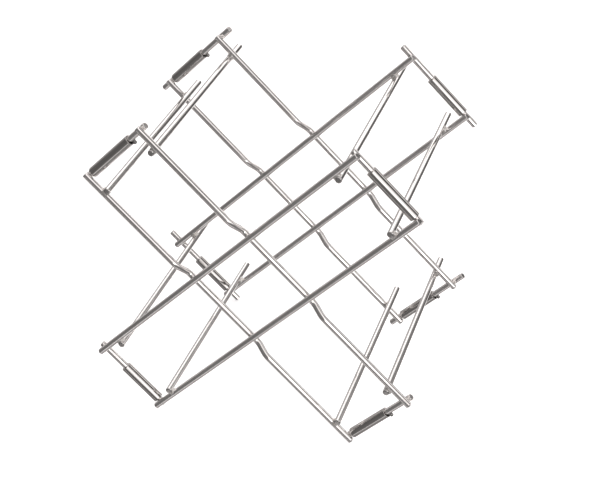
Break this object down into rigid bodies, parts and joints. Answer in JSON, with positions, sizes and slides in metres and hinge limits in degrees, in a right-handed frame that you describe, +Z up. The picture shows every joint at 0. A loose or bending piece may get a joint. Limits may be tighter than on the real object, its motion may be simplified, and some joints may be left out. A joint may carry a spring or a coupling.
{
  "type": "cross-frame rod stand",
  "caption": "Cross-shaped stand of polished round rod: front and rear X frames tied by long spreaders, with a loose tube sleeve turning on every end bar.",
  "frame": {"origin": "on the ground under the middle of the stand, at the bottom centre of its box", "axes": "+X to the right, +Y from the front frame to the rear frame, +Z up"},
  "size_m": [0.417, 0.299, 0.417],
  "materials": {
    "rod_steel": "bright polished round bar",
    "sleeve_tube": "bright polished tube with a fine lengthwise grain",
    "weld_metal": "cleaned weld metal, slightly dull"
  },
  "bodies": {
    "frame": {"front_frame_welds": "weld_metal", "front_joggled_rod_lower": "rod_steel", "front_joggled_rod_upper": "rod_steel", "front_lower_left_end_bar": "rod_steel", "front_lower_right_end_bar": "rod_steel", "front_lower_right_sleeve_stop": "rod_steel", "front_spreader_welds": "weld_metal", "front_straight_rod_lower": "rod_steel", "front_straight_rod_upper": "rod_steel", "front_upper_left_end_bar": "rod_steel", "front_upper_left_sleeve_stop": "rod_steel", "front_upper_right_end_bar": "rod_steel", "lower_left_spreader_lower": "rod_steel", "lower_left_spreader_upper": "rod_steel", "lower_right_spreader_lower": "rod_steel", "lower_right_spreader_upper": "rod_steel", "rear_frame_welds": "weld_metal", "rear_joggled_rod_lower": "rod_steel", "rear_joggled_rod_upper": "rod_steel", "rear_lower_left_end_bar": "rod_steel", "rear_lower_right_end_bar": "rod_steel", "rear_lower_right_sleeve_stop": "rod_steel", "rear_spreader_welds": "weld_metal", "rear_straight_rod_lower": "rod_steel", "rear_straight_rod_upper": "rod_steel", "rear_upper_left_end_bar": "rod_steel", "rear_upper_left_sleeve_stop": "rod_steel", "rear_upper_right_end_bar": "rod_steel", "upper_left_spreader_lower": "rod_steel", "upper_left_spreader_upper": "rod_steel", "upper_right_spreader_lower": "rod_steel", "upper_right_spreader_upper": "rod_steel"},
    "front_upper_right_sleeve": {"front_upper_right_sleeve": "sleeve_tube"},
    "front_lower_left_sleeve": {"front_lower_left_sleeve": "sleeve_tube"},
    "front_upper_left_sleeve": {"front_upper_left_sleeve": "sleeve_tube"},
    "front_lower_right_sleeve": {"front_lower_right_sleeve": "sleeve_tube"},
    "rear_upper_right_sleeve": {"rear_upper_right_sleeve": "sleeve_tube"},
    "rear_lower_left_sleeve": {"rear_lower_left_sleeve": "sleeve_tube"},
    "rear_upper_left_sleeve": {"rear_upper_left_sleeve": "sleeve_tube"},
    "rear_lower_right_sleeve": {"rear_lower_right_sleeve": "sleeve_tube"}
  },
  "joints": [
    {"name": "front_upper_right_sleeve_spin", "type": "hinge", "parent": "frame", "child": "front_upper_right_sleeve", "pos_m": [0.16557, -0.13675, 0.36052], "axis": [-0.7071, 0, 0.7071], "continuous": true},
    {"name": "front_lower_left_sleeve_spin", "type": "hinge", "parent": "frame", "child": "front_lower_left_sleeve", "pos_m": [-0.14839, -0.13675, 0.03808], "axis": [-0.7071, 0, 0.7071], "continuous": true},
    {"name": "front_upper_left_sleeve_spin", "type": "hinge", "parent": "frame", "child": "front_upper_left_sleeve", "pos_m": [-0.16203, -0.13675, 0.35698], "axis": [0.7071, 0, 0.7071], "continuous": true},
    {"name": "front_lower_right_sleeve_spin", "type": "hinge", "parent": "frame", "child": "front_lower_right_sleeve", "pos_m": [0.14485, -0.13675, 0.04161], "axis": [0.7071, 0, 0.7071], "continuous": true},
    {"name": "rear_upper_right_sleeve_spin", "type": "hinge", "parent": "frame", "child": "rear_upper_right_sleeve", "pos_m": [0.16981, 0.11925, 0.35628], "axis": [-0.7071, 0, 0.7071], "continuous": true},
    {"name": "rear_lower_left_sleeve_spin", "type": "hinge", "parent": "frame", "child": "rear_lower_left_sleeve", "pos_m": [-0.14839, 0.11925, 0.03808], "axis": [-0.7071, 0, 0.7071], "continuous": true},
    {"name": "rear_upper_left_sleeve_spin", "type": "hinge", "parent": "frame", "child": "rear_upper_left_sleeve", "pos_m": [-0.16628, 0.11925, 0.35274], "axis": [0.7071, 0, 0.7071], "continuous": true},
    {"name": "rear_lower_right_sleeve_spin", "type": "hinge", "parent": "frame", "child": "rear_lower_right_sleeve", "pos_m": [0.14485, 0.11925, 0.04161], "axis": [0.7071, 0, 0.7071], "continuous": true}
  ]
}
